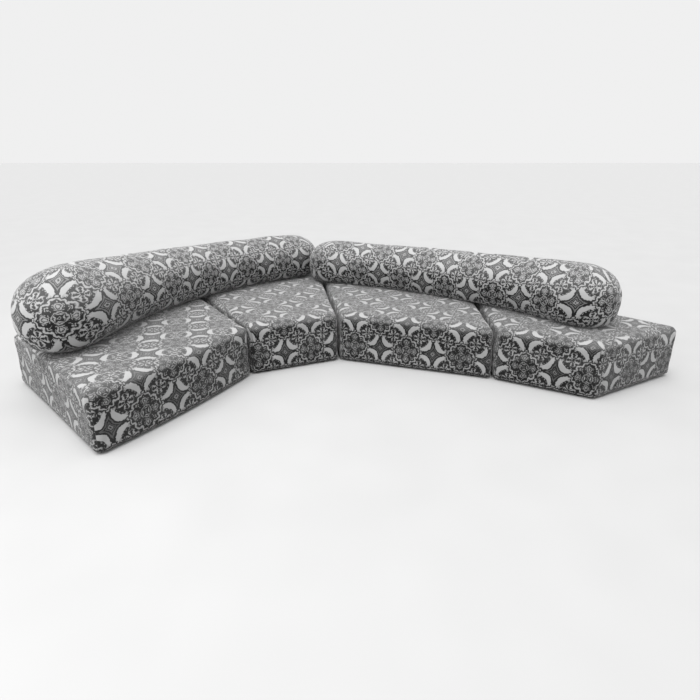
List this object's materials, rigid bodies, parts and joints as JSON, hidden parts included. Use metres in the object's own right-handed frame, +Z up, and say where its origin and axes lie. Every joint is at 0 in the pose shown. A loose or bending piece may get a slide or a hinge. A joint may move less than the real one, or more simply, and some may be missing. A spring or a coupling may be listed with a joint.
{
  "type": "modular sofa",
  "caption": "Low modular lounge sofa: wedge-shaped upholstered seat blocks in an open bow, with long curved bolsters as backs, in a grey arabesque fabric.",
  "frame": {"origin": "middle of the sofa's bounding box in plan, on the floor", "axes": "+Z up; the sofa opens towards -Y, and X runs along its width"},
  "size_m": [4.7962, 3.4684, 0.9171],
  "materials": {
    "seat_fabric": "matte",
    "soft_foam": "matte",
    "firm_foam": "matte",
    "filling": "matte",
    "plywood": "matte",
    "timber": "matte",
    "dust_cloth": "matte",
    "glide_plastic": "matte",
    "zinc_steel": "satin",
    "zip_metal": "satin"
  },
  "bodies": {
    "seat_b": {"seat_b_back_rail": "timber", "seat_b_connectors": "zinc_steel", "seat_b_cover": "seat_fabric", "seat_b_cross_rail": "timber", "seat_b_deck": "plywood", "seat_b_dust_cloth": "dust_cloth", "seat_b_foam_core": "firm_foam", "seat_b_front_rail": "timber", "seat_b_glides": "glide_plastic", "seat_b_left_rail": "timber", "seat_b_right_rail": "timber", "seat_b_screws": "zinc_steel", "seat_b_topper": "soft_foam"},
    "seat_a": {"seat_a_back_rail": "timber", "seat_a_connectors": "zinc_steel", "seat_a_cover": "seat_fabric", "seat_a_cross_rail": "timber", "seat_a_deck": "plywood", "seat_a_dust_cloth": "dust_cloth", "seat_a_foam_core": "firm_foam", "seat_a_front_rail": "timber", "seat_a_glides": "glide_plastic", "seat_a_left_rail": "timber", "seat_a_right_rail": "timber", "seat_a_screws": "zinc_steel", "seat_a_topper": "soft_foam"},
    "seat_c": {"seat_c_back_rail": "timber", "seat_c_connectors": "zinc_steel", "seat_c_cover": "seat_fabric", "seat_c_cross_rail": "timber", "seat_c_deck": "plywood", "seat_c_dust_cloth": "dust_cloth", "seat_c_foam_core": "firm_foam", "seat_c_front_rail": "timber", "seat_c_glides": "glide_plastic", "seat_c_left_rail": "timber", "seat_c_right_rail": "timber", "seat_c_screws": "zinc_steel", "seat_c_topper": "soft_foam"},
    "seat_d": {"seat_d_back_rail": "timber", "seat_d_connectors": "zinc_steel", "seat_d_cover": "seat_fabric", "seat_d_cross_rail": "timber", "seat_d_deck": "plywood", "seat_d_dust_cloth": "dust_cloth", "seat_d_foam_core": "firm_foam", "seat_d_front_rail": "timber", "seat_d_glides": "glide_plastic", "seat_d_left_rail": "timber", "seat_d_right_rail": "timber", "seat_d_screws": "zinc_steel", "seat_d_topper": "soft_foam"},
    "bolster_left": {"bolster_left_core": "filling", "bolster_left_cover": "seat_fabric"},
    "zip_slider_left": {"bolster_left_zip_slider": "zip_metal"},
    "bolster_right": {"bolster_right_core": "filling", "bolster_right_cover": "seat_fabric"},
    "zip_slider_right": {"bolster_right_zip_slider": "zip_metal"}
  },
  "joints": [
    {"name": "seat_a_pull_out", "type": "slide", "parent": "seat_b", "child": "seat_a", "axis": [-0.8387, -0.5446, 0], "range_m": [0, 0.3]},
    {"name": "seat_c_pull_out", "type": "slide", "parent": "seat_b", "child": "seat_c", "axis": [0.989, 0.1478, 0], "range_m": [0, 0.3]},
    {"name": "seat_d_pull_out", "type": "slide", "parent": "seat_c", "child": "seat_d", "axis": [0.9994, -0.0349, 0], "range_m": [0, 0.3]},
    {"name": "bolster_left_shift", "type": "slide", "parent": "seat_a", "child": "bolster_left", "axis": [-0.8599, 0.5105, 0], "range_m": [0, 0.15]},
    {"name": "bolster_right_shift", "type": "slide", "parent": "seat_c", "child": "bolster_right", "axis": [0.5976, 0.8018, 0], "range_m": [0, 0.15]},
    {"name": "zip_left_run", "type": "slide", "parent": "bolster_left", "child": "zip_slider_left", "axis": [0.5251, 0.851, -0.0102], "range_m": [0, 0.342]},
    {"name": "zip_right_run", "type": "slide", "parent": "bolster_right", "child": "zip_slider_right", "axis": [0.8073, -0.5902, 0.0056], "range_m": [0, 0.342]}
  ]
}
